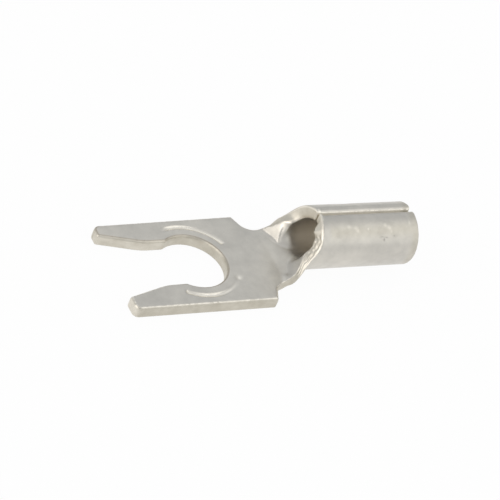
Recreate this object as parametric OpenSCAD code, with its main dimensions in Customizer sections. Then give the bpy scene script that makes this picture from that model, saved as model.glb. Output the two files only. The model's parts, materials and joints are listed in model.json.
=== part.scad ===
// Fork terminal with a rolled, butt-seamed wire barrel.
// The whole part is one piece of plated copper strip: a flat fork tongue that snaps over a screw,
// a notched neck that curls up out of the tongue, and a barrel rolled until its two edges meet on top.
// Units are millimetres. The origin is the centre of the stud seat on the tongue's underside,
// +X runs towards the wire barrel and +Z points up through the seat.

/* [Sheet] */
// Thickness of the strip, the same in the tongue, the neck and the barrel
sheet_t = 0.8; // [0.5:0.05:1.2]

/* [Fork tongue] */
// Diameter of the round stud seat
seat_d = 4.3; // [3.2:0.1:6.4]
// Width of the land on each side of the seat
tine_w = 1.4; // [1.1:0.05:2.4]
// How far each tine's outer edge leans in by its tip
tine_taper = 0.08; // [0:0.02:0.2]
// Distance of the tine tips from the seat's centre
tine_reach = 5.4; // [4.2:0.05:7.5]
// How much narrower the throat is than the seat, so that the screw snaps in
throat_snap = 0.68; // [0.2:0.02:0.9]
// Distance from the seat's centre at which the throat starts to flare
throat_reach = 2.6; // [2.2:0.1:3.4]
// How much the mouth opens on each side by the tips
mouth_flare = 0.77; // [0.3:0.01:0.9]
// Half length of the soft bend where the flare starts
flare_blend = 0.5; // [0.2:0.05:0.6]
// Radius of the outer corner of each tine tip
tip_corner_r = 0.4; // [0.15:0.05:0.6]
// Distance of the tongue's shoulders from the seat's centre
shoulder_x = 4.32; // [3.6:0.02:6]

/* [Coined arcs] */
// Width of the plain land between the seat's edge and the middle of a coined arc
ring_land = 0.75; // [0.4:0.05:0.9]
// Width of a coined arc at the surface
ring_w = 0.34; // [0.2:0.02:0.5]
// Depth of a coined arc
ring_depth = 0.09; // [0.05:0.01:0.14]
// Angle from the tongue's middle line at which each arc starts
ring_from = 31; // [16:1:50]
// Angle from the tongue's middle line at which each arc ends
ring_to = 117; // [80:1:120]
// Turn of the pair of arcs about the seat, as the coining punch sat
ring_turn = -5; // [-6:1:6]

/* [Neck] */
// Width of the waist between the two notches
waist_w = 4.5; // [3.8:0.1:5.2]
// Length of the straight part of the waist
waist_l = 0.4; // [0.3:0.01:1.6]
// Radius of the notch on the tongue's side
shoulder_fillet = 0.97; // [0.7:0.01:1.2]
// Lean of a shoulder away from straight across the strip, in degrees
shoulder_lean = 23; // [10:1:30]
// Radius of the notch on the barrel's side
wing_fillet = 1.45; // [1:0.05:1.9]
// Lean of a wing's front edge away from straight across the strip, in degrees
wing_lean = 12; // [6:0.5:18]
// Distance from the start of the waist to the start of the fold
fold_delay = 0.06; // [0:0.02:0.4]
// Inside radius of the crease where the wings start to turn up
crease_r = 0.1; // [0.06:0.02:0.6]
// How early the flat floor between the two creases narrows
floor_power = 3.2; // [1.6:0.05:4]
// How late the wings turn up
wing_power = 1.6; // [1.2:0.05:2.4]
// Length over which the floor climbs from the tongue to the barrel
ramp_l = 1.75; // [0.8:0.05:2.2]

/* [Wire barrel] */
// Diameter of the bore that takes the wire
bore_d = 2.35; // [1.9:0.05:3.6]
// Length of the round barrel behind the tips of the wings
barrel_l = 6.75; // [4:0.05:10]
// Height of the barrel's underside above the tongue's underside
barrel_rise = 0.26; // [0.1:0.02:0.5]
// Gap between the two butted edges, measured at the bore
seam_gap = 0.2; // [0.06:0.02:0.5]
// Radius of the outer lip of each butted edge
lip_r = 0.2; // [0.06:0.02:0.36]

/* [Hidden] */
$fn = 96;
// How far the neck reaches into the tongue and into the barrel
lap = 0.25;
// How far the neck's faces lie inside the tongue's and the barrel's faces
inset = 0.012;
// Extra length of a cutting shape
over = 1;
// Steps of the neck along the waist, round the notch and along a wing's front edge
waist_steps = 10;
notch_steps = 18;
wing_steps = 10;
// Steps of the neck across half the strip: over the floor, round the fold and up the straight wing
floor_cols = 5;
fold_cols = 13;
wing_cols = 5;
half_cols = floor_cols + fold_cols + wing_cols;
// Steps of the neck up the strip's cut edge, which twists as the wings turn
edge_cols = 5;
// Least shares of the strip's half width that the floor and the fold keep, and the most that they reach
floor_least = 0.15;
floor_most = 0.8;
fold_least = 0.07;
fold_most = 0.94;

// Fork tongue
tongue_h = seat_d / 2 + tine_w;
tip_h = tongue_h - tine_taper;
throat_h = (seat_d - throat_snap) / 2;
flare_slope = mouth_flare / (tine_reach - throat_reach);

// Wire barrel
bore_r = bore_d / 2;
barrel_r = bore_r + sheet_t;
mid_r = bore_r + sheet_t / 2;
axis_z = barrel_rise + barrel_r;
seam_half = asin(seam_gap / 2 / bore_r);
lip_turn = asin(lip_r / (barrel_r - lip_r));

// Half widths of the strip before it is rolled, measured along its middle layer
waist_h = waist_w / 2;
wing_h = mid_r * (180 - seam_half) * PI / 180;

// The notch on the tongue's side: a round that touches the leaning shoulder and the waist
notch_h = waist_h + shoulder_fillet;
waist_from = shoulder_x + (tongue_h - notch_h) * tan(shoulder_lean) + shoulder_fillet / cos(shoulder_lean);
notch_dip = 0.975;
notch_root = [waist_from, notch_h] - notch_dip * shoulder_fillet * [cos(shoulder_lean), sin(shoulder_lean)];
// End of the flat tongue plate, where the neck takes over
join_x = waist_from - lap;

// The notch on the barrel's side: a round that runs into the wing's leaning front edge
waist_to = waist_from + waist_l;
wing_tan_x = waist_to + wing_fillet * cos(wing_lean);
wing_tan_h = waist_h + wing_fillet * (1 - sin(wing_lean));
wing_top_x = wing_tan_x + (wing_h - wing_tan_h) * tan(wing_lean);
fold_from = waist_from + fold_delay;
barrel_front = wing_top_x + 2 * inset;
barrel_rear = wing_top_x + barrel_l;

function smooth(u) = let (c = min(1, max(0, u))) c * c * (3 - 2 * c);

// Half width of the flat strip at a station x
function half_width(x) =
    x < waist_from ? notch_h - sqrt(pow(shoulder_fillet, 2) - pow(waist_from - x, 2)) :
    x < waist_to ? waist_h :
    x < wing_tan_x ? waist_h + wing_fillet - sqrt(pow(wing_fillet, 2) - pow(x - waist_to, 2)) :
    x < wing_top_x ? wing_tan_h + (x - wing_tan_x) / tan(wing_lean) :
    wing_h;

// Share of the fold that is done at a station x
function folded(x) = min(1, max(0, (x - fold_from) / (wing_top_x - fold_from)));

// Half width of the floor that is still flat at a station x
function floor_half(x) = x <= fold_from ? tongue_h : waist_h * pow(1 - folded(x), floor_power);

// Radius of the fold's middle layer at a station x: from the crease to the barrel's as the floor narrows
function fold_r(x) = max(crease_r + sheet_t / 2, mid_r - floor_half(x));

// Angle up to which the wings have turned at a station x
function wing_angle(x) = 180 * pow(folded(x), wing_power);

// Lift of the strip's underside at a station x
function lift(x) = barrel_rise * smooth((x - join_x) / ramp_l);

// Point of the folded strip: station x, distance s from its middle line, height h from its middle layer.
// Past the flat floor the strip follows the fold up to the wing's angle, and the rest is straight.
function rolled(x, s, h) =
    let (f = min(abs(s), floor_half(x)))
    let (r = fold_r(x))
    let (a = min(wing_angle(x), (abs(s) - f) / r * 180 / PI))
    let (wing = abs(s) - f - r * a * PI / 180)
    let (y = f + (r - h) * sin(a) + wing * cos(a))
    let (z = r - (r - h) * cos(a) + wing * sin(a))
    [x, sign(s) * y, lift(x) + sheet_t / 2 + z];

// Places across the folded strip at a station x, in lines that follow the creases
function places(x) =
    let (w = half_width(x) - inset)
    let (crease = min(floor_most * w, max(floor_least * w, floor_half(x))))
    let (arc = max(fold_least * w, fold_r(x) * wing_angle(x) * PI / 180))
    let (turned = min(fold_most * w, crease + arc))
    let (side = concat(
        [for (i = [1:floor_cols]) crease * i / floor_cols],
        [for (i = [1:fold_cols]) crease + (turned - crease) * i / fold_cols],
        [for (i = [1:wing_cols]) turned + (w - turned) * i / wing_cols]))
    concat([for (i = [half_cols - 1:-1:0]) -side[i]], [0], side);

// Closed section of the neck at a station x: the underside, one cut edge, the top and the other cut edge
function section(x) =
    let (across = places(x))
    let (edge = across[2 * half_cols])
    let (half_t = sheet_t / 2 - inset)
    let (levels = [for (i = [1:edge_cols - 1]) half_t * (2 * i / edge_cols - 1)])
    concat(
        [for (s = across) rolled(x, s, -half_t)],
        [for (h = levels) rolled(x, edge, h)],
        [for (s = across) rolled(x, -s, half_t)],
        [for (h = levels) rolled(x, -edge, -h)]);

// Two triangles of a four-cornered face, split from its first corner or from its second
function quad(a, b, c, d, first) = first ? [[a, b, c], [a, c, d]] : [[b, c, d], [b, d, a]];

// Stations along the neck: closer where the wings sweep up
function stations() = concat(
    [for (i = [0:waist_steps - 1]) join_x - lap + (waist_to - join_x + lap) * i / waist_steps],
    [for (i = [0:notch_steps - 1]) waist_to + wing_fillet * sin((90 - wing_lean) * i / notch_steps)],
    [for (i = [0:wing_steps - 1]) wing_tan_x + (wing_top_x - wing_tan_x) * i / wing_steps],
    [wing_top_x, barrel_front + lap]);

// Points of an arc about c, from angle a0 to angle a1
function arc_points(c, r, a0, a1, n) =
    [for (i = [0:n]) c + r * [cos(a0 + (a1 - a0) * i / n), sin(a0 + (a1 - a0) * i / n)]];

// Outline of one half of the tongue's outside, from the tine tip to the neck
function tongue_side() = concat(
    [[-tine_reach, 0]],
    arc_points([tip_corner_r - tine_reach, tip_h - tip_corner_r], tip_corner_r, 180, 90, 8),
    [[shoulder_x, tongue_h], notch_root, [join_x, notch_root[1]]]);

// Half width of the mouth at a distance u past the start of its flare
function mouth_half(u) = throat_h + flare_slope * (
    u < -flare_blend ? 0 :
    u > flare_blend ? u :
    pow(u + flare_blend, 2) / (4 * flare_blend));

// Outline of one half of the mouth, from inside the seat to beyond the tips
function mouth_side() = concat(
    [[0, throat_h]],
    [for (i = [-3:3]) let (u = flare_blend * i / 3) [-throat_reach - u, mouth_half(u)]],
    [let (u = tine_reach + over - throat_reach) [-throat_reach - u, mouth_half(u)]]);

function flip(pts) = [for (i = [len(pts) - 1:-1:0]) [pts[i][0], -pts[i][1]]];

// Flat fork tongue: round seat, snap throat, flared mouth and the tongue's half of the notches
module tongue() {
    difference() {
        linear_extrude(height = sheet_t)
            polygon(concat(tongue_side(), flip(tongue_side())));
        translate([0, 0, -over])
            cylinder(d = seat_d, h = sheet_t + 2 * over);
        translate([0, 0, -over])
            linear_extrude(height = sheet_t + 2 * over)
                polygon(concat(mouth_side(), flip(mouth_side())));
        for (side = [-1, 1])
            translate([waist_from, side * notch_h, -over])
                cylinder(r = shoulder_fillet, h = sheet_t + 2 * over);
        coined_arc(ring_turn + ring_from);
        coined_arc(ring_turn - ring_to);
    }
}

// One coined arc: a shallow V groove in the tongue's top
module coined_arc(start) {
    ring_r = seat_d / 2 + ring_land;
    translate([0, 0, sheet_t])
        rotate([0, 0, start])
            rotate_extrude(angle = ring_to - ring_from)
                polygon([
                    [ring_r, -ring_depth],
                    [ring_r + ring_w, ring_depth],
                    [ring_r - ring_w, ring_depth]]);
}

// Curled neck: two creases narrow the flat floor to nothing while the wings turn up into the barrel
module neck() {
    xs = stations();
    last = len(xs) - 1;
    cols = 2 * half_cols;
    half_loop = cols + edge_cols;
    loop = 2 * half_loop;
    points = [for (x = xs) each section(x)];
    // Every face is split along the crease on its own side of the strip
    skin = [
        for (i = [0:last - 1])
            for (k = [0:loop - 1])
                let (a = i * loop + k, d = i * loop + (k + 1) % loop)
                each quad(a, a + loop, d + loop, d, k % half_loop < half_cols)];
    // Closing face of the first section: strips between underside and top, and a fan at each cut edge
    cap = concat(
        [for (j = [1:cols - 2]) each quad(j, j + 1, half_loop + cols - j - 1, half_loop + cols - j, true)],
        [for (k = [cols:half_loop]) [cols - 1, k, k + 1]],
        [for (k = [half_loop + cols - 1:loop - 1]) [1, k, (k + 1) % loop]]);
    back = [for (t = cap) [t[2], t[1], t[0]] + last * loop * [1, 1, 1]];
    polyhedron(points = points, faces = concat(skin, cap, back), convexity = 8);
}

// Round tube of the wire barrel, before the seam is cut
module barrel() {
    length = barrel_rear - barrel_front;
    translate([barrel_front, 0, axis_z])
        rotate([0, 90, 0])
            difference() {
                cylinder(r = barrel_r, h = length);
                translate([0, 0, -over])
                    cylinder(r = bore_r, h = length + 2 * over);
            }
}

// Open butt seam along the barrel's top, between two lips that are rounded outside
module seam() {
    reach = 2 * barrel_r;
    lip_a = seam_half + lip_turn;
    lip_centre = (barrel_r - lip_r) * [cos(lip_a), sin(lip_a)];
    side = concat(
        arc_points(lip_centre, lip_r, seam_half - 90, lip_a, 8),
        [reach * [cos(lip_a), sin(lip_a)]]);
    translate([barrel_front - over, 0, axis_z])
        rotate([0, -90, 180])
            linear_extrude(height = barrel_rear - barrel_front + 2 * over)
                polygon(concat([[0, 0]], side, flip(side)));
}

// The complete terminal, one piece of strip
module terminal_body() {
    color("silver")
        difference() {
            union() {
                tongue();
                neck();
                barrel();
            }
            seam();
        }
}

terminal_body();
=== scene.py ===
"""Looks of a plated fork terminal, built as the stamped strip it is made from and folded the same way."""

import json
import logging
import math
from dataclasses import dataclass, field
from enum import Enum

import bpy
import numpy as np
from mathutils import Matrix, Vector
from mathutils.geometry import delaunay_2d_cdt

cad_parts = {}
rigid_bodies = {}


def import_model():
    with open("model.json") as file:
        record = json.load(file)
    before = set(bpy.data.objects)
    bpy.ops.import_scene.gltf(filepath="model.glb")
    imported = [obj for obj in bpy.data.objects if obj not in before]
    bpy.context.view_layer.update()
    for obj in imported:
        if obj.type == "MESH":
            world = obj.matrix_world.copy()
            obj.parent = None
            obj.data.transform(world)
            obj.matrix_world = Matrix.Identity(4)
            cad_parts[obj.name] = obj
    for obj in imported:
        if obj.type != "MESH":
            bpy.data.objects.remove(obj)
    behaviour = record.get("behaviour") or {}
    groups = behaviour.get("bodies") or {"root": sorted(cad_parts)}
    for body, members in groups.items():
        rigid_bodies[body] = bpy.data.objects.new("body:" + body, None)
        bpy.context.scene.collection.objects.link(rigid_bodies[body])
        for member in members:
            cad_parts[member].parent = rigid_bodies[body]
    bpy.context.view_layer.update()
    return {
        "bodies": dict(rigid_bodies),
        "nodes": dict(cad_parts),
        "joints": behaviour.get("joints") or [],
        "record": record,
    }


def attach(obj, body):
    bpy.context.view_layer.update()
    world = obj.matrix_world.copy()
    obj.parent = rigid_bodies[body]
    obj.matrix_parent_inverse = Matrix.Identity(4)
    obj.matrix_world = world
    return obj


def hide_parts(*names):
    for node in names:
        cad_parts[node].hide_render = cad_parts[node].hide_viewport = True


log = logging.getLogger("fork_terminal")

MM = 0.001
POINTS_AT_ONCE = 1500

Array = np.ndarray
Socket = bpy.types.NodeSocket
Tree = bpy.types.NodeTree
Colour = tuple[float, float, float, float]
Pair = tuple[float, float]
Triple = tuple[float, float, float]


class Side(Enum):
    """The two halves of the strip, by the sign of the distance from its middle line."""

    FAR = 1
    NEAR = -1


class Effect(Enum):
    """Shared surface effects, each one shader node group."""

    GRAIN = "fine_grain"
    MOTTLE = "cloudy_mottle"
    SPECKS = "scattered_specks"


class Mark(Enum):
    """Marks from 0 to 1 on the points of the mesh, which the plate's finish reads."""

    WALL = "wall"
    # Where the bore is painted brighter, a painted lift of the shade inside the barrel.
    INSIDE = "inside"
    # Painted highlights, partly real burnish of pressed and sheared metal.
    BURNISH_AND_HIGHLIGHT = "burnish"
    TARNISH = "tarnish"
    WARM = "warm"


def smooth(u: Array | float) -> Array:
    """Eases from 0 to 1 as u goes from 0 to 1."""
    c = np.clip(u, 0.0, 1.0)
    return c * c * (3.0 - 2.0 * c)


def ramp(x: Array, start: float, run: float) -> Array:
    """Eases from 0 at start to 1 at start + run, which lies before it when run is negative."""
    return smooth((x - start) / run)


def bell(u: Array) -> Array:
    """Gives a round bump that is 1 at u = 0 and fades out by about u = 2."""
    return np.exp(-(u**2))


def direction(azimuth: float, elevation: float) -> Vector:
    """Gives the direction from the terminal to a place at an azimuth and an elevation in degrees."""
    a, e = math.radians(azimuth), math.radians(elevation)
    return Vector((math.sin(a) * math.cos(e), -math.cos(a) * math.cos(e), math.sin(e)))


def add_object(name: str, data: bpy.types.ID) -> bpy.types.Object:
    """Makes an object of a mesh, a lamp or a camera and links it into the scene."""
    made = bpy.data.objects.new(name, data)
    bpy.context.scene.collection.objects.link(made)
    return made


def round_corners(corners: list[Triple], arc_step: float) -> Array:
    """Runs a polyline through corners and rounds each one by its own radius.

    Args:
        corners: Corner points as x, s and radius in millimetres; the two ends stay as they are.
        arc_step: Longest step along a round.

    Returns:
        The points of the polyline, one row each.
    """
    points = [np.array(corners[0][:2])]
    for before, here, after in zip(corners, corners[1:], corners[2:]):
        p, radius = np.array(here[:2]), here[2]
        if radius <= 0.0:
            points.append(p)
            continue
        u = np.array(before[:2]) - p
        w = np.array(after[:2]) - p
        u /= np.linalg.norm(u)
        w /= np.linalg.norm(w)
        half = math.acos(float(np.clip(u @ w, -1.0, 1.0))) / 2.0
        start, end = p + u * radius / math.tan(half), p + w * radius / math.tan(half)
        centre = p + (u + w) / np.linalg.norm(u + w) * radius / math.sin(half)
        a0 = math.atan2(*(start - centre)[::-1])
        turn = math.atan2(*(end - centre)[::-1]) - a0
        turn = (turn + math.pi) % (2.0 * math.pi) - math.pi
        steps = max(3, math.ceil(abs(turn) * radius / arc_step))
        angles = a0 + turn * np.linspace(0.0, 1.0, steps + 1)
        points += list(centre + radius * np.stack([np.cos(angles), np.sin(angles)], 1))
    points.append(np.array(corners[-1][:2]))
    return np.array(points)


def densify(points: Array, step: float) -> Array:
    """Gives a polyline with points added, so that no run in it is longer than step."""
    out = [points[:1]]
    for a, b in zip(points, points[1:]):
        n = max(1, math.ceil(float(np.linalg.norm(b - a)) / step))
        out.append(a + (b - a) * (np.arange(1, n + 1) / n)[:, None])
    return np.concatenate(out)


@dataclass(frozen=True)
class StripSizes:
    """Sizes of the strip in millimetres, as the part's source has them."""

    sheet_t: float = 0.8
    seat_d: float = 4.3
    tine_w: float = 1.4
    tine_reach: float = 5.4
    throat_snap: float = 0.68
    throat_reach: float = 2.6
    mouth_flare: float = 0.77
    flare_blend: float = 0.5
    tip_corner_r: float = 0.4
    shoulder_x: float = 4.32
    waist_w: float = 4.5
    waist_l: float = 0.4
    shoulder_fillet: float = 0.97
    shoulder_lean: float = math.radians(23.0)
    wing_fillet: float = 1.45
    wing_lean: float = math.radians(12.0)
    fold_delay: float = 0.06
    crease_r: float = 0.1
    floor_power: float = 3.2
    wing_power: float = 1.6
    ramp_l: float = 1.75
    lap: float = 0.25
    bore_d: float = 2.35
    barrel_l: float = 6.75
    barrel_rise: float = 0.26
    seam_gap: float = 0.2

    @property
    def tongue_h(self) -> float:
        """Half width of the tongue."""
        return self.seat_d / 2.0 + self.tine_w

    @property
    def throat_h(self) -> float:
        """Half width of the throat."""
        return (self.seat_d - self.throat_snap) / 2.0

    @property
    def waist_h(self) -> float:
        """Half width of the waist."""
        return self.waist_w / 2.0

    @property
    def mid_r(self) -> float:
        """Radius of the rolled strip's middle layer."""
        return (self.bore_d + self.sheet_t) / 2.0

    @property
    def wing_h(self) -> float:
        """Half width of the strip where it is rolled into the barrel."""
        return self.mid_r * (math.pi - math.asin(self.seam_gap / self.bore_d))

    @property
    def waist_from(self) -> float:
        """Station at which the waist starts."""
        run = (self.tongue_h - self.waist_h - self.shoulder_fillet) * math.tan(self.shoulder_lean)
        return self.shoulder_x + run + self.shoulder_fillet / math.cos(self.shoulder_lean)

    @property
    def waist_to(self) -> float:
        """Station at which the waist ends."""
        return self.waist_from + self.waist_l

    @property
    def wing_tan_x(self) -> float:
        """Station at which the notch runs into the wing's front edge."""
        return self.waist_to + self.wing_fillet * math.cos(self.wing_lean)

    @property
    def wing_tan_h(self) -> float:
        """Half width at which the notch runs into the wing's front edge."""
        return self.waist_h + self.wing_fillet * (1.0 - math.sin(self.wing_lean))

    @property
    def wing_top_x(self) -> float:
        """Station of the wings' front corners."""
        return self.wing_front(self.wing_h)

    @property
    def barrel_rear(self) -> float:
        """Station of the barrel's rear end."""
        return self.wing_top_x + self.barrel_l

    def wing_front(self, s: Array | float) -> Array | float:
        """Station of a wing's front edge at a distance s from the middle line."""
        return self.wing_tan_x + (np.abs(s) - self.wing_tan_h) * math.tan(self.wing_lean)

    def folded(self, x: Array) -> Array:
        """Share of the fold that is done at the stations x."""
        start = self.waist_from + self.fold_delay
        return np.clip((x - start) / (self.wing_top_x - start), 0.0, 1.0)

    def floor_half(self, x: Array) -> Array:
        """Half width of the floor that is still flat at the stations x."""
        share = self.folded(x)
        return np.where(share <= 0.0, self.tongue_h, self.waist_h * (1.0 - share) ** self.floor_power)

    def fold_r(self, x: Array) -> Array:
        """Radius of the fold's middle layer at the stations x."""
        return np.maximum(self.crease_r + self.sheet_t / 2.0, self.mid_r - self.floor_half(x))

    def wing_angle(self, x: Array) -> Array:
        """Angle up to which the wings have turned at the stations x."""
        return math.pi * self.folded(x) ** self.wing_power

    def lift(self, x: Array) -> Array:
        """Lift of the strip's underside at the stations x."""
        return self.barrel_rise * ramp(x, self.waist_from - self.lap, self.ramp_l)

    def rolled(self, x: Array, s: Array, h: Array) -> Array:
        """Folds points of the flat strip into the finished shape.

        Args:
            x: Stations along the strip.
            s: Distances from the strip's middle line.
            h: Heights from the strip's middle layer.

        Returns:
            The folded points in millimetres, one row each.
        """
        flat = np.minimum(np.abs(s), self.floor_half(x))
        radius = self.fold_r(x)
        angle = np.minimum(self.wing_angle(x), (np.abs(s) - flat) / radius)
        wing = np.abs(s) - flat - radius * angle
        y = flat + (radius - h) * np.sin(angle) + wing * np.cos(angle)
        z = radius - (radius - h) * np.cos(angle) + wing * np.sin(angle)
        return np.stack([x, np.sign(s) * y, self.lift(x) + self.sheet_t / 2.0 + z], 1)

    def crease_guides(self, step: float, beside: float) -> Array:
        """Gives mesh points as x and s along the far crease and its rounding, and a row on either side."""
        x = np.arange(self.waist_from + self.fold_delay + step, self.wing_top_x, step)
        crease = self.floor_half(x)
        arc = self.fold_r(x) * self.wing_angle(x)
        rows = [crease - beside, crease + arc + beside]
        rows += [crease + arc * share for share in np.linspace(0.0, 1.0, 5)]
        return np.concatenate([np.stack([x, row], 1) for row in rows])


@dataclass(frozen=True)
class CoinedArc:
    """One shallow arc pressed into the tongue's top beside the seat, with its angles in radians."""

    start: float
    end: float
    fade_in: float
    fade_out: float
    radius: float = 2.9
    width: float = 0.38
    depth: float = 0.10
    flank_power: float = 1.5
    guide_reach: float = 0.6
    guide_rows: int = 13
    margin: float = 0.05
    end_margin: float = 0.02

    @classmethod
    def from_degrees(cls, start: float, end: float, fade_in: float, fade_out: float) -> "CoinedArc":
        """Makes an arc from its angles in degrees."""
        return cls(*np.radians([start, end, fade_in, fade_out]))

    def polar(self, xs: Array) -> tuple[Array, Array]:
        """Gives each point's distance from the seat's centre and its angle."""
        return np.hypot(xs[:, 0], xs[:, 1]), np.arctan2(xs[:, 1], xs[:, 0])

    def press(self, xs: Array) -> Array:
        """Gives how deep the arc is pressed, in millimetres, at points as x and s."""
        r, a = self.polar(xs)
        across = np.clip(1.0 - np.abs(r - self.radius) / (self.width / 2.0), 0.0, 1.0)
        along = ramp(a, self.start, self.fade_in) * ramp(a, self.end, -self.fade_out)
        return self.depth * along * (1.0 - (1.0 - across) ** self.flank_power)

    def guides(self, step: float) -> Array:
        """Gives mesh points as x and s along the arc's rims and its bottom, about a step apart."""
        a = np.linspace(self.start, self.end, int((self.end - self.start) * self.radius / step))
        rows = []
        for offset in np.linspace(-self.guide_reach, self.guide_reach, self.guide_rows):
            r = self.radius + offset * self.width
            rows.append(np.stack([r * np.cos(a), r * np.sin(a)], 1))
        return np.concatenate(rows)

    def covers(self, xs: Array) -> Array:
        """Tells which points lie among the arc's own mesh points."""
        r, a = self.polar(xs)
        beside = np.abs(r - self.radius) < self.guide_reach * self.width + self.margin
        return beside & (a > self.start - self.end_margin) & (a < self.end + self.end_margin)


@dataclass(frozen=True)
class Uneven:
    """How one half of this strip strays from the drawing, in millimetres.

    The tine is longer by reach and leans in by taper. Mouth, tongue and waist are wider by mouth, spread and
    waist, the shoulder is further back, and the butted edge is longer by lip and rounded by lip_round.
    """

    reach: float
    taper: float
    mouth: float
    spread: float
    shoulder: float
    waist: float
    lip: float
    lip_round: float


@dataclass(frozen=True)
class NearRoot:
    """The root of the near wing: it curls up early, and has a sharp upper rim and a round lower one.

    The curl peaks curl_x past the waist's start, and rises over curl_run from curl_inset inside its edge.
    """

    curl: float = 0.26
    curl_x: float = 0.24
    curl_l: float = 0.27
    curl_inset: float = 0.7
    curl_run: float = 0.75
    top_round: float = 0.05
    under_round: float = 0.2


@dataclass(frozen=True)
class TornFront:
    """The torn front edge of the near wing: its inner rim's leads at angles in degrees, and its streaks."""

    angles: tuple[float, ...] = (88.0, 105.0, 122.0, 133.0, 148.0, 162.0, 172.0)
    leads: tuple[float, ...] = (0.0, 0.10, 0.24, 0.16, 0.36, 0.22, 0.02)
    decay: float = 0.5
    streak: float = 0.022
    streak_rate: float = 16.0
    waves: tuple[Triple, ...] = ((1.4, 5.1, 0.6), (0.9, 11.3, 2.1))

    def phase(self, down: Array, along: Array) -> Array:
        """Gives the streaks' phase at shares down the sheet's thickness and places along the edge."""
        phase = self.streak_rate * down
        for height, rate, start in self.waves:
            phase = phase + height * np.sin(rate * along + start)
        return phase


@dataclass(frozen=True)
class PlateWearAndHighlights:
    """How bright the plate is painted for highlights, partly real burnish where tools rubbed it, and how
    yellow it turned, from 0 to 1, with sizes in millimetres.
    """

    front: float = 0.25
    front_low: float = 0.4
    front_rim: float = 0.45
    lip: float = 0.75
    inner: float = 0.3
    tip: float = 0.5
    facet: float = 0.1
    facet_r: float = 0.35
    spot: float = 0.6
    spot_r: float = 0.25
    spot_off: Pair = (0.08, -0.35)
    full_arc: float = 0.06
    full_bead: float = 0.05
    raised: float = 0.45
    full_raised: float = 0.016
    yellow: float = 0.65
    yellow_s: float = -3.9
    yellow_w: float = 0.35
    fade: float = 0.2


@dataclass(frozen=True)
class Dent:
    """A small mark pressed into the plate: station, distance from the middle line, size and depth."""

    x: float
    s: float
    long: float
    wide: float
    depth: float
    guide_reach: float = 1.6
    guide_rows: int = 7

    def press(self, x: Array, s: Array) -> Array:
        """Gives how deep the mark is pressed at points of the strip."""
        return self.depth * bell((x - self.x) / self.long) * bell((s - self.s) / self.wide)

    def guides(self) -> Array:
        """Gives mesh points that are dense enough for the mark, as x and s."""
        u = np.linspace(-self.guide_reach, self.guide_reach, self.guide_rows)
        grid = np.stack(np.meshgrid(u * self.long + self.x, u * self.wide + self.s), -1)
        return grid.reshape(-1, 2)


class NodeSheet:
    """Adds nodes to a node tree and wires them in one call each."""

    def __init__(self, tree: Tree) -> None:
        """Takes an empty or new tree."""
        self.tree = tree

    @classmethod
    def of(cls, owner: bpy.types.Material | bpy.types.World) -> "NodeSheet":
        """Empties the nodes of a new material or world."""
        owner.use_nodes = True
        owner.node_tree.nodes.clear()
        return cls(owner.node_tree)

    def feed(self, socket: Socket, value: object) -> None:
        """Links an input to an output socket, or sets it to a plain value."""
        if isinstance(value, Socket):
            self.tree.links.new(value, socket)
        else:
            socket.default_value = value

    def add(self, kind: str, links: dict | None = None, **settings: object) -> bpy.types.Node:
        """Adds a node.

        Args:
            kind: Blender's node type.
            links: Input name or index to an output socket or a plain value.
            settings: Properties of the node.

        Returns:
            The node.
        """
        node = self.tree.nodes.new(kind)
        for name, value in settings.items():
            setattr(node, name, value)
        for name, value in (links or {}).items():
            self.feed(node.inputs[name], value)
        return node

    def math(self, operation: str, *values: object) -> Socket:
        """Adds a math node and gives its result."""
        node = self.add("ShaderNodeMath", dict(enumerate(values)), operation=operation)
        return node.outputs[0]

    def mix(self, factor: object, a: object, b: object) -> Socket:
        """Adds a colour mix and gives its result."""
        node = self.add("ShaderNodeMix", data_type="RGBA")
        for index, value in {0: factor, 6: a, 7: b}.items():
            self.feed(node.inputs[index], value)
        return node.outputs[2]

    def span(self, value: Socket, *limits: float) -> Socket:
        """Maps a value from the first two limits to the last two, clamped."""
        names = ("From Min", "From Max", "To Min", "To Max")
        node = self.add("ShaderNodeMapRange", {"Value": value, **dict(zip(names, limits))}, clamp=True)
        return node.outputs["Result"]

    def noise(self, where: Socket, scale: Socket, detail: float, roughness: float = 0.5) -> Socket:
        """Adds a noise texture and gives its value."""
        links = {"Vector": where, "Scale": scale, "Detail": detail, "Roughness": roughness}
        return self.add("ShaderNodeTexNoise", links).outputs[0]


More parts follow.
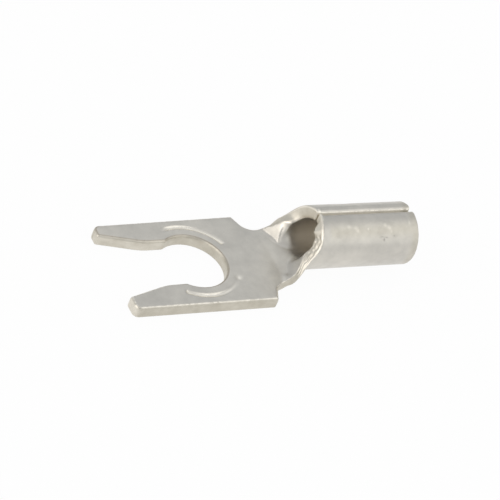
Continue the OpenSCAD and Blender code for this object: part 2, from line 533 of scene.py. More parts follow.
class EffectGroups:
    """Makes the shared shader node groups, each one once."""

    def __init__(self) -> None:
        """Starts with no group made."""
        self.made: dict[Effect, Tree] = {}

    def tree(self, effect: Effect) -> Tree:
        """Gives the group of an effect, and makes it on first use."""
        if effect not in self.made:
            makers = {Effect.GRAIN: self._grain, Effect.MOTTLE: self._mottle, Effect.SPECKS: self._specks}
            self.made[effect] = bpy.data.node_groups.new(effect.value, "ShaderNodeTree")
            makers[effect](self.made[effect])
        return self.made[effect]

    def place(self, sheet: NodeSheet, effect: Effect, **values: object) -> Socket:
        """Places an effect in a material, with values for its inputs, and gives what it puts out."""
        return sheet.add("ShaderNodeGroup", values, node_tree=self.tree(effect)).outputs[0]

    @staticmethod
    def _sockets(tree: Tree, output: str, **inputs: float) -> tuple[NodeSheet, bpy.types.bpy_prop_collection]:
        """Makes a group's sockets, Where, the named inputs and one output, and gives its nodes and inputs."""
        tree.interface.new_socket("Where", in_out="INPUT", socket_type="NodeSocketVector")
        for name, value in inputs.items():
            socket = tree.interface.new_socket(name, in_out="INPUT", socket_type="NodeSocketFloat")
            socket.default_value = value
        tree.interface.new_socket(output, in_out="OUTPUT", socket_type="NodeSocketFloat")
        sheet = NodeSheet(tree)
        return sheet, sheet.add("NodeGroupInput").outputs

    def _grain(self, tree: Tree) -> None:
        """Fine matt grain: two sizes of noise as one height."""
        sheet, into = self._sockets(tree, "Height", Scale=9000.0, Coarse=0.35)
        fine = sheet.noise(into["Where"], into["Scale"], detail=3.0)
        wide = sheet.math("MULTIPLY", into["Scale"], 0.23)
        coarse = sheet.noise(into["Where"], wide, detail=2.0)
        lifted = sheet.math("MULTIPLY", coarse, into["Coarse"])
        sheet.add("NodeGroupOutput", {"Height": sheet.math("ADD", fine, lifted)})

    def _mottle(self, tree: Tree) -> None:
        """Cloudy unevenness: a soft value about 0.5."""
        sheet, into = self._sockets(tree, "Value", Scale=900.0, Contrast=1.0)
        noise = sheet.noise(into["Where"], into["Scale"], detail=5.0, roughness=0.62)
        centred = sheet.math("SUBTRACT", noise, 0.5)
        scaled = sheet.math("MULTIPLY", centred, into["Contrast"])
        sheet.add("NodeGroupOutput", {"Value": sheet.math("ADD", scaled, 0.5)})

    def _specks(self, tree: Tree) -> None:
        """Scattered specks: a mask that is 1 in small spots, more of them where Amount is higher."""
        sheet, into = self._sockets(tree, "Mask", Scale=6000.0, Amount=0.5)
        noise = sheet.noise(into["Where"], into["Scale"], detail=1.5)
        level = sheet.math("SUBTRACT", 0.86, sheet.math("MULTIPLY", into["Amount"], 0.24))
        over = sheet.math("SUBTRACT", noise, level)
        sheet.add("NodeGroupOutput", {"Mask": sheet.span(over, 0.0, 0.06, 0.0, 1.0)})


@dataclass(frozen=True)
class PlateFinish:
    """Satin tin plate on stamped copper strip, with warmer sheared edges, painted highlights and a painted
    lift of light in the bore.
    """

    face: Colour = (0.62, 0.594, 0.542, 1.0)
    face_dark: Colour = (0.522, 0.504, 0.463, 1.0)
    edge: Colour = (0.625, 0.592, 0.512, 1.0)
    edge_dark: Colour = (0.485, 0.452, 0.378, 1.0)
    # Painted light: brighter than the plate, to lift the shade inside the barrel.
    bore_painted_lift: Colour = (0.885, 0.84, 0.765, 1.0)
    # Colour of the painted highlights, partly real burnish, and of random bright patches on the face.
    bright: Colour = (0.90, 0.855, 0.765, 1.0)
    stain: Colour = (0.30, 0.24, 0.17, 1.0)
    roughness: float = 0.38
    edge_roughness: float = 0.44
    bright_roughness: float = 0.28
    rough_swing: float = 0.07
    rim_at: float = 0.45
    patch_share: float = 0.3
    tarnish_share: float = 0.5
    tarnish_specks: float = 0.45
    speck_share: float = 0.65
    mottle_height: float = 2.2
    grain_height: float = 0.5
    bump_depth: float = 0.0028 * MM

    def make(self, groups: EffectGroups) -> bpy.types.Material:
        """Makes the material with the shared effects."""
        material = bpy.data.materials.new("tin_plate")
        sheet = NodeSheet.of(material)
        where = sheet.add("ShaderNodeTexCoord").outputs["Object"]
        wall, inside, burnish, tarnish, warm = (
            sheet.add("ShaderNodeAttribute", attribute_name=mark.value).outputs["Fac"] for mark in Mark
        )
        mottle = groups.place(sheet, Effect.MOTTLE, Where=where, Scale=1500.0, Contrast=1.6)
        patch = groups.place(sheet, Effect.MOTTLE, Where=where, Scale=320.0, Contrast=1.4)
        grain = groups.place(sheet, Effect.GRAIN, Where=where, Scale=11000.0, Coarse=0.5)
        from_rim = sheet.math("ABSOLUTE", sheet.math("SUBTRACT", wall, self.rim_at))
        rim = sheet.span(from_rim, 0.0, self.rim_at, 1.0, 0.0)
        dulled = sheet.math("MULTIPLY", rim, tarnish)
        speckled = sheet.math("MULTIPLY_ADD", dulled, self.tarnish_specks, rim)
        specks = groups.place(sheet, Effect.SPECKS, Where=where, Scale=5200.0, Amount=speckled)
        glints = groups.place(sheet, Effect.SPECKS, Where=where, Scale=3900.0, Amount=1.5)
        broken = sheet.math("MAXIMUM", glints, sheet.span(mottle, 0.3, 0.65, 0.2, 0.9))
        # Painted highlight along the rounded rims, broken by glints and mottle, partly real wear of the
        # edges; tarnish dulls it.
        rim_wear_and_highlight = sheet.math("MULTIPLY", sheet.math("SUBTRACT", rim, dulled), broken)
        streaky = sheet.math("MULTIPLY", burnish, sheet.span(mottle, 0.25, 0.6, 0.7, 1.0))
        rubbed_and_highlight = sheet.math("MAXIMUM", rim_wear_and_highlight, streaky)
        face = sheet.mix(mottle, self.face_dark, self.face)
        face = sheet.mix(sheet.span(patch, 0.4, 0.8, 0.0, self.patch_share), face, self.bright)
        edge = sheet.mix(mottle, self.edge_dark, self.edge)
        colour = sheet.mix(sheet.math("MAXIMUM", wall, warm), face, edge)
        # Painted light: the bore's inner face is mixed towards the brighter colour.
        colour = sheet.mix(inside, colour, self.bore_painted_lift)
        # Painted highlights: mixed towards the bright colour.
        colour = sheet.mix(rubbed_and_highlight, colour, self.bright)
        colour = sheet.mix(sheet.math("MULTIPLY", dulled, self.tarnish_share), colour, self.stain)
        colour = sheet.mix(sheet.math("MULTIPLY", specks, self.speck_share), colour, self.stain)
        rough = sheet.span(wall, 0.0, 1.0, self.roughness, self.edge_roughness)
        polish = sheet.math("MULTIPLY", rubbed_and_highlight, self.roughness - self.bright_roughness)
        rough = sheet.math("SUBTRACT", rough, polish)
        rough = sheet.math("ADD", rough, sheet.span(mottle, 0.0, 1.0, self.rough_swing, -self.rough_swing))
        cloudy = sheet.math("MULTIPLY", mottle, self.mottle_height)
        height = sheet.math("ADD", cloudy, sheet.math("MULTIPLY", grain, self.grain_height))
        bump = sheet.add("ShaderNodeBump", {"Strength": 1.0, "Distance": self.bump_depth, "Height": height})
        shader = sheet.add(
            "ShaderNodeBsdfPrincipled",
            {"Base Color": colour, "Roughness": rough, "Metallic": 1.0, "Normal": bump.outputs[0]},
        )
        sheet.add("ShaderNodeOutputMaterial", {"Surface": shader.outputs[0]})
        return material


@dataclass(frozen=True)
class FloorFinish:
    """Plain white paper that stays white to the camera and in reflections, and keeps a soft shadow."""

    paper: Colour = (0.93, 0.93, 0.92, 1.0)
    glow: Colour = (1.0, 1.0, 1.0, 1.0)
    shadow_share: float = 0.05
    bump_depth: float = 0.01 * MM

    def make(self, groups: EffectGroups) -> bpy.types.Material:
        """Makes the material with the shared effects."""
        material = bpy.data.materials.new("white_paper")
        sheet = NodeSheet.of(material)
        where = sheet.add("ShaderNodeTexCoord").outputs["Object"]
        grain = groups.place(sheet, Effect.GRAIN, Where=where, Scale=900.0, Coarse=0.3)
        bump = sheet.add("ShaderNodeBump", {"Strength": 0.1, "Distance": self.bump_depth, "Height": grain})
        paper = sheet.add("ShaderNodeBsdfDiffuse", {"Color": self.paper, "Normal": bump.outputs[0]})
        white = sheet.add("ShaderNodeEmission", {"Color": self.glow, "Strength": 1.0})
        path = sheet.add("ShaderNodeLightPath").outputs
        seen = sheet.math("MAXIMUM", path["Is Camera Ray"], path["Is Glossy Ray"])
        seen = sheet.math("MAXIMUM", seen, path["Is Transmission Ray"])
        share = sheet.math("MULTIPLY", seen, 1.0 - self.shadow_share)
        mixed = sheet.add("ShaderNodeMixShader", {0: share, 1: paper.outputs[0], 2: white.outputs[0]})
        sheet.add("ShaderNodeOutputMaterial", {"Surface": mixed.outputs[0]})
        return material


@dataclass
class TerminalBody:
    """The whole terminal: one stamped strip with rounded edges, folded into tongue, neck and barrel."""

    sizes: StripSizes = field(default_factory=StripSizes)
    finish: PlateFinish = field(default_factory=PlateFinish)
    wear_and_highlights: PlateWearAndHighlights = field(default_factory=PlateWearAndHighlights)
    root: NearRoot = field(default_factory=NearRoot)
    torn: TornFront = field(default_factory=TornFront)
    node: str = "terminal_body"
    slot: str = "tin_plate"
    outline_step: float = 0.07
    arc_step: float = 0.05
    ring_turns: tuple[float, ...] = (28.0, 52.0, 72.0, 90.0)
    ring_slack: float = 0.97
    outer_ring: float = 1.7
    grid_step: float = 0.115
    grid_gap: float = 0.45
    guide_step: float = 0.05
    guide_gap: float = 0.03
    crease_step: float = 0.02
    wall_levels: int = 13
    top_round: float = 0.16
    under_round: float = 0.07
    rear_corner_r: float = 0.12
    lip_corner_r: float = 0.14
    shoulder_corner_r: float = 0.05
    mouth_corner_r: float = 0.13
    shear_bulge: float = 0.012
    barrel_over: float = 0.1
    barrel_droop: float = 0.1
    far_lip_lead: float = 0.25
    lip_fade: float = 0.3
    uneven: dict[Side, Uneven] = field(default_factory=lambda: {
        Side.FAR: Uneven(
            reach=0.05, taper=0.16, mouth=0.0, spread=0.05,
            shoulder=-0.1, waist=0.11, lip=-0.10, lip_round=0.34,
        ),
        Side.NEAR: Uneven(
            reach=-0.05, taper=0.04, mouth=-0.05, spread=0.04,
            shoulder=0.01, waist=0.0, lip=0.32, lip_round=0.55,
        ),
    })
    facet: tuple[Pair, ...] = ((5.80, 2.25), (6.23, 1.24), (6.53, 2.42))
    facet_fade: float = 0.1
    arcs: tuple[CoinedArc, ...] = (
        CoinedArc.from_degrees(start=24.5, end=117.0, fade_in=4.0, fade_out=18.0),
        CoinedArc.from_degrees(start=-124.5, end=-33.0, fade_in=4.0, fade_out=62.0),
    )
    dimple: Dent = Dent(2.38, -1.64, 0.19, 0.19, 0.055)
    bead: Dent = Dent(7.80, 4.66, 0.12, 0.12, -0.07)
    dents: tuple[Dent, ...] = (
        Dent(9.36, -4.15, 0.16, 0.12, -0.012),
        Dent(9.86, -4.08, 0.20, 0.13, -0.014),
        Dent(9.95, -3.92, 0.10, 0.10, -0.010),
        Dent(10.72, -3.99, 0.07, 0.07, -0.014),
        Dent(12.02, -4.17, 0.14, 0.12, -0.014),
        Dent(12.28, -4.02, 0.16, 0.12, -0.016),
        Dent(12.42, -3.82, 0.09, 0.09, -0.010),
        Dent(11.70, -3.54, 0.11, 0.05, 0.040),
        Dent(11.86, -3.42, 0.05, 0.09, 0.050),
        Dent(12.02, -3.50, 0.10, 0.05, 0.040),
        Dent(12.60, -3.57, 0.06, 0.06, 0.035),
        Dent(13.85, -4.25, 0.08, 0.16, -0.012),
        Dent(8.6, -3.1, 0.5, 0.4, 0.018),
        Dent(10.6, -2.6, 0.7, 0.6, 0.014),
        Dent(12.9, -2.1, 0.8, 0.5, 0.012),
        Dent(10.2, 3.6, 0.4, 0.3, 0.022),
        Dent(12.2, 2.4, 0.6, 0.5, 0.014),
        Dent(9.1, 1.1, 0.8, 0.6, 0.010),
    )

    def half_outline(self, side: Side) -> Array:
        """Gives one half of the strip's outline, from the middle of the rear end to the back of the seat.

        Args:
            side: Which half.

        Returns:
            The points as x and s, one row each.
        """
        z, off = self.sizes, self.uneven[side]
        wing_h, tongue_h, reach = z.wing_h + off.lip, z.tongue_h + off.spread, z.tine_reach + off.reach
        waist_h, rear = z.waist_h + off.waist, z.barrel_rear + self.barrel_over
        wing_foot = z.wing_front(waist_h)
        shoulder_x = z.shoulder_x + off.shoulder
        shoulder_foot = shoulder_x + (z.tongue_h - waist_h) * math.tan(z.shoulder_lean)
        slope = z.mouth_flare / (z.tine_reach - z.throat_reach)
        seat_r, throat_h = z.seat_d / 2.0, z.throat_h + off.mouth
        entry = math.pi - math.asin(throat_h / seat_r)
        corners: list[Triple] = [
            (rear, 0.0, 0.0),
            (rear, wing_h, self.rear_corner_r),
            (z.wing_front(wing_h), wing_h, self.lip_corner_r),
            (wing_foot, waist_h, z.wing_fillet),
            (shoulder_foot, waist_h, z.shoulder_fillet),
            (shoulder_x, tongue_h, self.shoulder_corner_r),
            (-reach, tongue_h - off.taper, z.tip_corner_r),
            (-reach, throat_h + slope * (reach - z.throat_reach), self.mouth_corner_r),
            (-z.throat_reach, throat_h, z.flare_blend / math.tan(math.atan(slope) / 2.0)),
            (seat_r * math.cos(entry), throat_h, 0.0),
        ]
        angles = np.linspace(entry, 0.0, math.ceil(entry * seat_r / self.outline_step))
        seat = seat_r * np.stack([np.cos(angles), np.sin(angles)], 1)
        outline = np.concatenate([round_corners(corners, self.arc_step)[:-1], seat])
        return densify(outline, self.outline_step) * (1.0, side.value)

    def outline(self) -> Array:
        """Gives the strip's closed outline, counter-clockwise."""
        near = self.half_outline(Side.NEAR)[::-1]
        return np.concatenate([self.half_outline(Side.FAR), near[1:-1]])

    @staticmethod
    def inward(outline: Array) -> Array:
        """Gives the inward direction at each point of the outline."""
        along = np.roll(outline, -1, 0) - np.roll(outline, 1, 0)
        along /= np.linalg.norm(along, axis=1)[:, None]
        return np.stack([-along[:, 1], along[:, 0]], 1)

    @staticmethod
    def depth_inside(points: Array, outline: Array) -> Array:
        """Gives how far points lie inside the closed outline, as distances that are negative outside it."""
        a, b = outline, np.roll(outline, -1, 0)
        run = b - a
        square = (run**2).sum(1)
        out = []
        for chunk in np.array_split(points, max(1, len(points) // POINTS_AT_ONCE)):
            gap = chunk[:, None, :] - a
            k = np.clip((gap * run).sum(2) / square, 0.0, 1.0)
            distance = np.linalg.norm(gap - k[:, :, None] * run, axis=2).min(1)
            py = chunk[:, 1:2]
            crosses = (a[:, 1] > py) != (b[:, 1] > py)
            rise = np.where(run[:, 1] == 0.0, 1.0, run[:, 1])
            at = a[:, 0] + (py - a[:, 1]) * run[:, 0] / rise
            odd = (crosses & (chunk[:, 0:1] < at)).sum(1) % 2
            out.append(np.where(odd == 1, distance, -distance))
        return np.concatenate(out)

    def guides(self) -> Array:
        """Gives the mesh points that follow the creases, the facet, the arcs and the dents, as x and s."""
        crease = self.sizes.crease_guides(self.crease_step, self.guide_step)
        rows = [crease, crease * (1.0, -1.0), self.facet_guides()]
        rows += [arc.guides(self.guide_step) for arc in self.arcs]
        rows += [dent.guides() for dent in (self.dimple, self.bead, *self.dents)]
        return np.concatenate(rows)

    def grid(self, outline: Array) -> Array:
        """Gives staggered rows of mesh points as x and s over the outline's box, but none on the arcs."""
        low, high = outline.min(0), outline.max(0)
        rows = []
        for i, s in enumerate(np.arange(low[1], high[1], self.grid_step * math.sqrt(0.75))):
            x = np.arange(low[0] + self.grid_step / 2.0 * (i % 2), high[0], self.grid_step)
            rows.append(np.stack([x, np.full_like(x, s)], 1))
        points = np.concatenate(rows)
        for arc in self.arcs:
            points = points[~arc.covers(points)]
        return points

    def cloud(self, outline: Array) -> tuple[Array, Array]:
        """Scatters the mesh points of one face of the strip.

        Args:
            outline: The closed outline.

        Returns:
            The points, the outline's own first, and each one's depth inside the outline.
        """
        inward = self.inward(outline)
        turned = 1.0 - np.cos(np.radians(self.ring_turns))
        rings = self.top_round * np.append(turned, self.outer_ring)
        batches = [(outline + inward * ring, self.ring_slack * ring) for ring in rings]
        batches.append((self.guides(), rings[-1] + self.guide_gap))
        batches.append((self.grid(outline), rings[-1] + self.grid_gap * self.grid_step))
        parts, depths = [outline], [np.zeros(len(outline))]
        for points, least in batches:
            depth = self.depth_inside(points, outline)
            keep = depth > least
            parts.append(points[keep])
            depths.append(depth[keep])
        return np.concatenate(parts), np.concatenate(depths)

    @staticmethod
    def triangles(points: Array, rim: int) -> Array:
        """Joins the points of one face into triangles inside the outline.

        Args:
            points: The points as x and s, the outline's own first.
            rim: How many points the outline has.

        Returns:
            The triangles as point numbers, counter-clockwise.
        """
        edges = [(i, (i + 1) % rim) for i in range(rim)]
        only_inside, tolerance = 1, 1e-7
        made = delaunay_2d_cdt([Vector(p) for p in points], edges, [], only_inside, tolerance)
        source = np.array([ids[0] if ids else -1 for ids in made[3]])
        faces = source[np.array([f for f in made[2] if len(f) == 3])]
        faces = faces[(faces >= 0).all(1)]
        a, b, c = (points[faces[:, i]] for i in range(3))
        turn = (b - a)[:, 0] * (c - a)[:, 1] - (b - a)[:, 1] * (c - a)[:, 0]
        faces[turn < 0] = faces[turn < 0][:, ::-1]
        return faces

    @staticmethod
    def rollover(depth: Array, radius: Array | float) -> Array:
        """Gives how far a rounded edge drops below its face at depths inside the outline."""
        left = np.clip(radius - depth, 0.0, radius)
        return radius - np.sqrt(radius**2 - left**2)

    def facet_guides(self) -> Array:
        """Gives mesh points along the two creases that bound the flat facet of the far wing's root."""
        start, apex, end = np.array(self.facet)
        rows = []
        for a, b in ((start, apex), (apex, end)):
            along = b - a
            across = np.array([-along[1], along[0]]) / np.linalg.norm(along)
            k = np.linspace(0.0, 1.0, int(np.linalg.norm(along) / self.guide_step))[:, None]
            rows += [a + along * k + across * off for off in (-self.facet_fade, 0.0, self.facet_fade)]
        return np.concatenate(rows)

    def flatten(self, x: Array, s: Array, h: Array, points: Array) -> Array:
        """Presses the root of the far wing flat inside a triangle, which leaves a crisp facet.

        Args:
            x: Stations along the strip.
            s: Distances from the middle line.
            h: Heights from the middle layer.
            points: The folded points.

        Returns:
            The folded points with the facet in them.
        """
        corners = np.array(self.facet)
        frame = np.linalg.inv((corners[:2] - corners[2]).T)
        share = (np.stack([x, s], 1) - corners[2]) @ frame.T
        share = np.column_stack([share, 1.0 - share.sum(1)])
        run = np.linalg.norm(np.roll(corners, -1, 0) - np.roll(corners, 1, 0), axis=1)
        height = 1.0 / (run * abs(np.linalg.det(frame)))
        inside = (share * height).min(1)
        weight = smooth(1.0 + inside / self.facet_fade)[:, None]
        flat = np.zeros_like(points)
        for part, (cx, cs) in zip(share.T, corners):
            flat += part[:, None] * self.sizes.rolled(np.full_like(x, cx), np.full_like(x, cs), h)
        return points + weight * (flat - points)

    def settle(self, x: Array, s: Array, h: Array) -> Array:
        """Folds points of the strip and adds the unevenness of the real bend.

        Args:
            x: Stations along the strip.
            s: Distances from the middle line.
            h: Heights from the middle layer.

        Returns:
            The points in millimetres, one row each.
        """
        z, root = self.sizes, self.root
        lead = np.interp(np.degrees(np.abs(s) / z.mid_r), self.torn.angles, self.torn.leads)
        behind = np.clip(x - z.wing_front(s), 0.0, None)
        inner = 0.5 + h / z.sheet_t
        near_wing = ramp(x, z.waist_to, 0.6) * (s < 0.0)
        early = bell((x - z.waist_from - root.curl_x) / root.curl_l)
        early = early * ramp(s, root.curl_inset - z.waist_h, -root.curl_run)
        points = self.flatten(x, s, h, z.rolled(x, s, h))
        points[:, 0] -= near_wing * lead * inner * np.exp(-behind / self.torn.decay)
        points[:, 2] += root.curl * early
        points[:, 2] -= self.barrel_droop * np.clip((x - z.wing_top_x) / z.barrel_l, 0.0, 1.0)
        return points

    def lip_drops(self, xs: Array) -> Array:
        """Gives how far the barrel's outside drops towards its two butted edges, at points as x and s."""
        z = self.sizes
        drops = np.zeros(len(xs))
        for side, off in self.uneven.items():
            left = z.wing_h + off.lip - xs[:, 1] * side.value
            start = z.wing_top_x - (self.far_lip_lead if side is Side.FAR else 0.0)
            fade = ramp(xs[:, 0], start, self.lip_fade)
            close = left < off.lip_round
            drops[close] = (fade * self.rollover(np.clip(left, 0.0, None), off.lip_round))[close]
        return drops

    def near_root(self, xs: Array) -> Array:
        """Gives the share of the near wing's root, with its sharp upper rim, at points as x and s."""
        x, s = xs.T
        z = self.sizes
        return ramp(x, z.waist_from - 0.9, 0.4) * ramp(x, z.waist_to + 0.7, -0.6) * (s < 0.0)

    def shear_marks(self, outline: Array, level: Array) -> Array:
        """Gives how far the sheared edge stands out at a level: a belly, and the near wing's torn streaks."""
        x, s = outline.T
        z = self.sizes
        down = 0.5 - level / z.sheet_t
        share = ramp(x, z.waist_to - 0.1, 0.5) * ramp(s, -z.wing_tan_h - 0.6, 0.5)
        share = share * (s < 0.0) * (x < z.wing_top_x)
        streaks = self.torn.streak * share * np.sin(self.torn.phase(down, x - s))
        return self.shear_bulge * np.sin(math.pi * down) + streaks

    def shape(self) -> tuple[Array, list[list[int]], dict[Mark, Array]]:
        """Shapes the strip: its top, its underside and the sheared wall between them.

        Returns:
            The points in millimetres, the polygons, and the marks of each point.
        """
        outline = self.outline()
        rim = len(outline)
        points, depth = self.cloud(outline)
        count = len(points)
        faces = self.triangles(points, rim)
        half = self.sizes.sheet_t / 2.0
        x, s = points.T
        pressed = sum(arc.press(points) for arc in self.arcs) + self.dimple.press(x, s)
        dented = sum(dent.press(x, s) for dent in self.dents)
        root = self.near_root(points)
        top_round = self.top_round + root * (self.root.top_round - self.top_round)
        under_round = self.under_round + root * (self.root.under_round - self.under_round)
        top = half - self.rollover(depth, top_round) - pressed
        rounded = np.maximum(self.rollover(depth, under_round), self.lip_drops(points))
        under = rounded - half + dented + self.bead.press(x, s)
        layers = [self.settle(x, s, top), self.settle(x, s, under)]
        wall = [smooth(1.0 - depth / top_round), smooth(1.0 - depth / under_round)]
        loops = [np.arange(rim)]
        inward = self.inward(outline)
        levels = np.linspace(top[:rim], under[:rim], self.wall_levels + 2)
        for level in levels[1:-1]:
            moved = outline - inward * self.shear_marks(outline, level)[:, None]
            loops.append(2 * count + rim * (len(loops) - 1) + np.arange(rim))
            layers.append(self.settle(moved[:, 0], moved[:, 1], level))
            wall.append(np.ones(rim))
        loops.append(count + np.arange(rim))
        polygons = faces.tolist() + (faces[:, ::-1] + count).tolist()
        for upper, lower in zip(loops, loops[1:]):
            polygons += np.stack([lower, np.roll(lower, -1), np.roll(upper, -1), upper], 1).tolist()
        vertices = np.concatenate(layers)
        marks = {
            Mark.WALL: np.concatenate(wall),
            Mark.INSIDE: self.mark_bore_lift(layers[0], len(vertices)),
            Mark.BURNISH_AND_HIGHLIGHT: self.burnish(points, layers, wall, pressed, dented),
            Mark.TARNISH: self.tarnish(vertices),
            Mark.WARM: self.warm(points, len(vertices)),
        }
        return vertices, polygons, marks

    def build(self, groups: EffectGroups) -> bpy.types.Object:
        """Builds the terminal's mesh and dresses it with the shared effects."""
        vertices, polygons, marks = self.shape()
        mesh = bpy.data.meshes.new(self.node + "_strip")
        mesh.from_pydata((vertices * MM).tolist(), [], polygons)
        mesh.validate()
        mesh.polygons.foreach_set("use_smooth", np.ones(len(mesh.polygons), bool))
        for mark, values in marks.items():
            layer = mesh.attributes.new(mark.value, "FLOAT", "POINT")
            layer.data.foreach_set("value", values.astype(np.float32))
        mesh.update()
        piece = add_object("terminal_strip", mesh)
        mesh.materials.append(self.finish.make(groups))
        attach(piece, "root")
        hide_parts(self.node)
        log.info("%s: %d vertices, %d faces", piece.name, len(mesh.vertices), len(mesh.polygons))
        return piece

    def mark_bore_lift(self, top: Array, count: int) -> Array:
        """Marks the inner face of the barrel among the top face's points, the first of the mesh's count,
        where the bore is painted brighter to lift its shade.
        """
        z = self.sizes
        x, y, height = top.T
        deep = ramp(x, z.wing_tan_x - 0.6, 1.1) * ramp(x, z.barrel_rear, -0.8)
        radius = np.hypot(y, height - z.barrel_rise - z.bore_d / 2.0 - z.sheet_t)
        mark = np.zeros(count)
        mark[: len(top)] = deep * (radius < z.bore_d / 2.0 + 0.06)
        return mark

    def burnish(
        self, flat: Array, layers: list[Array], wall: list[Array], pressed: Array, dented: Array
    ) -> Array:
        """Marks painted highlights, partly real burnish where tools rubbed the plate: the coined arcs, the
        sheared wings and raised spots.

        Args:
            flat: The points of one face on the flat strip, as x and s.
            layers: The points of the mesh layer by layer, the strip's top face first.
            wall: The share of sheared edge at the same points.
            pressed: How deep the arcs are pressed at the top face's points.
            dented: How deep the barrel's outside is dented at the same points.

        Returns:
            The mark from 0 to 1 for each point.
        """
        z, wear_and_highlights = self.sizes, self.wear_and_highlights
        marks = []
        for level, (points, edge) in enumerate(zip(layers, wall)):
            x, y, height = points.T
            low = ramp(height, z.barrel_rise + z.sheet_t + 1.2, -0.7) * (y < 0.0)
            # Painted highlight lines along the sheared wall's lower rim.
            rim = 1.0 if level in (1, len(layers) - 1) else 0.0
            front = ramp(x, z.waist_to, 0.9) * ramp(x, z.wing_top_x + wear_and_highlights.fade, -wear_and_highlights.fade)
            lip = ramp(x, z.wing_top_x, wear_and_highlights.fade) * ramp(x, z.barrel_rear - 0.3, -wear_and_highlights.fade)
            inner = ramp(x, -1.0, -0.6) * (y > 0.0) * (y < z.tongue_h - 0.6)
            tip = ramp(x, 0.4 - z.tine_reach, -0.3) * (y < 0.0)
            mark = front * (wear_and_highlights.front + wear_and_highlights.front_low * low + wear_and_highlights.front_rim * rim)
            mark = mark + wear_and_highlights.lip * lip + wear_and_highlights.inner * inner + wear_and_highlights.tip * tip
            marks.append(edge * np.clip(mark, 0.0, 1.0))
        # Painted highlights on the far wing's facet and a bright spot at its corner.
        corners = np.array(self.facet)
        facet = wear_and_highlights.facet * bell(np.linalg.norm(flat - corners.mean(0), axis=1) / wear_and_highlights.facet_r)
        spot = wear_and_highlights.spot * bell(np.linalg.norm(flat - corners[2] - wear_and_highlights.spot_off, axis=1) / wear_and_highlights.spot_r)
        arcs = smooth(pressed / wear_and_highlights.full_arc)
        marks[0] = np.maximum.reduce([marks[0], arcs, np.clip(facet + spot, 0.0, 1.0)])
        # Painted highlights on the raised dents and the bead.
        raised = wear_and_highlights.raised * smooth(-dented / wear_and_highlights.full_raised)
        bead = smooth(-self.bead.press(*flat.T) / wear_and_highlights.full_bead)
        marks[1] = np.maximum.reduce([marks[1], raised, bead])
        return np.concatenate(marks)

    def tarnish(self, vertices: Array) -> Array:
        """Marks the brown, dull edges: round the seat and the mouth, and at the far tine's tip."""
        x, y, _ = vertices.T
        z, fade = self.sizes, self.wear_and_highlights.fade
        seat = ramp(np.hypot(x, y), z.seat_d / 2.0 + 0.4, -fade)
        mouth = (x < 0.0) * ramp(y, z.tongue_h - 0.4, -fade) * (y > 0.0)
        tip = ramp(x, 0.5 - z.tine_reach, -fade) * (y > 0.0)
        return np.maximum.reduce([seat, mouth, tip])

    def warm(self, flat: Array, count: int) -> Array:
        """Marks the yellower shoulder and rear end of the barrel's outside, the mesh's second layer."""
        x, s = flat.T
        z, wear_and_highlights = self.sizes, self.wear_and_highlights
        shoulder = bell((s - wear_and_highlights.yellow_s) / wear_and_highlights.yellow_w) * ramp(x, z.wing_top_x + 0.2, 0.3)
        rear = ramp(x, z.barrel_rear - 0.6, 0.4)
        mark = np.zeros(count)
        mark[len(flat): 2 * len(flat)] = wear_and_highlights.yellow * np.maximum(shoulder, rear)
        return mark


@dataclass(frozen=True)
class Softbox:
    """A soft square lamp, aimed at the terminal: direction in degrees, size, power, colour and distance."""

    name: str
    azimuth: float
    elevation: float
    size: float
    power: float
    colour: Triple
    distance: float = 0.35

    def build(self, aim: Vector) -> None:
        """Makes the lamp and aims it."""
        lamp = bpy.data.lights.new(self.name, "AREA")
        lamp.size, lamp.energy, lamp.color = self.size, self.power, self.colour
        holder = add_object(self.name, lamp)
        back = direction(self.azimuth, self.elevation)
        holder.location = aim + back * self.distance
        holder.rotation_euler = (-back).to_track_quat("-Z", "Y").to_euler()


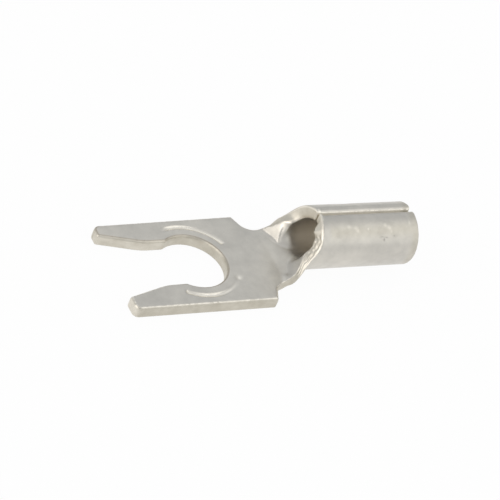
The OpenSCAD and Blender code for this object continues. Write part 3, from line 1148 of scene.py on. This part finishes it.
@dataclass
class Studio:
    """White paper floor, soft lamps and the camera at the photograph's viewing angle."""

    floor_finish: FloorFinish = field(default_factory=FloorFinish)
    floor_r: float = 0.8
    floor_rings: int = 8
    floor_sides: int = 64
    floor_gap: float = 0.01 * MM
    world_colour: Colour = (0.635, 0.647, 0.662, 1.0)
    aim: Vector = field(default_factory=lambda: Vector((4.85832, 1.354096, 0.0)) * MM)
    azimuth: float = -40.7288
    elevation: float = 38.5204
    roll: float = 24.6106
    distance: float = 154.2322 * MM
    lens: float = 180.0
    sensor: float = 36.0
    clip: Pair = (0.005, 5.0)
    lamps: tuple[Softbox, ...] = (
        Softbox("key_softbox", 42.0, 37.0, 0.42, 0.315, (1.0, 0.985, 0.95)),
        Softbox("back_softbox", 172.0, 58.0, 0.36, 0.10, (0.97, 0.99, 1.0)),
        Softbox("left_softbox", -82.0, 17.0, 0.38, 0.55, (1.0, 0.95, 0.90)),
    )

    def build(self, groups: EffectGroups) -> None:
        """Makes the floor, the world, the lamps and the camera."""
        self._floor(groups)
        self._world()
        for lamp in self.lamps:
            lamp.build(self.aim)
        self._camera()
        bpy.context.scene.view_settings.view_transform = "Standard"

    def _floor(self, groups: EffectGroups) -> None:
        """Makes the round paper floor as rings of quads, closer together near the middle."""
        radii = self.floor_r * np.linspace(0.0, 1.0, self.floor_rings + 1)[1:] ** 1.5
        n = self.floor_sides
        angles = np.linspace(0.0, 2.0 * math.pi, n, endpoint=False)
        points = [(0.0, 0.0, 0.0)]
        points += [(r * math.cos(a), r * math.sin(a), 0.0) for r in radii for a in angles]
        faces = [(0, 1 + j, 1 + (j + 1) % n) for j in range(n)]
        for i in range(len(radii) - 1):
            a, b = 1 + i * n, 1 + (i + 1) * n
            faces += [(a + j, b + j, b + (j + 1) % n, a + (j + 1) % n) for j in range(n)]
        mesh = bpy.data.meshes.new("paper_floor")
        mesh.from_pydata(points, [], faces)
        mesh.materials.append(self.floor_finish.make(groups))
        floor = add_object("paper_floor", mesh)
        floor.location.z = -self.floor_gap

    def _world(self) -> None:
        """Lights the studio evenly from all round."""
        world = bpy.data.worlds.new("studio")
        sheet = NodeSheet.of(world)
        sky = sheet.add("ShaderNodeBackground", {"Color": self.world_colour, "Strength": 1.0})
        sheet.add("ShaderNodeOutputWorld", {"Surface": sky.outputs[0]})
        bpy.context.scene.world = world

    def _camera(self) -> None:
        """Sets the camera from its direction, its roll and the point that it looks at."""
        data = bpy.data.cameras.new("photo_camera")
        data.lens, data.sensor_width = self.lens, self.sensor
        data.clip_start, data.clip_end = self.clip
        camera = add_object("photo_camera", data)
        back = direction(self.azimuth, self.elevation)
        turn = math.radians(self.azimuth)
        level = Vector((math.cos(turn), math.sin(turn), 0.0))
        right = Matrix.Rotation(math.radians(self.roll), 3, back) @ level
        frame = Matrix((right, back.cross(right), back)).transposed().to_4x4()
        frame.translation = self.aim + back * self.distance
        camera.matrix_world = frame
        bpy.context.scene.camera = camera


def main() -> None:
    """Loads the frame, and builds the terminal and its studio."""
    logging.basicConfig(level=logging.INFO, format="%(name)s: %(message)s")
    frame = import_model()
    log.info("frame holds %s", ", ".join(sorted(frame["nodes"])))
    groups = EffectGroups()
    TerminalBody().build(groups)
    Studio().build(groups)
    bpy.context.view_layer.update()


if __name__ == "__main__":
    main()
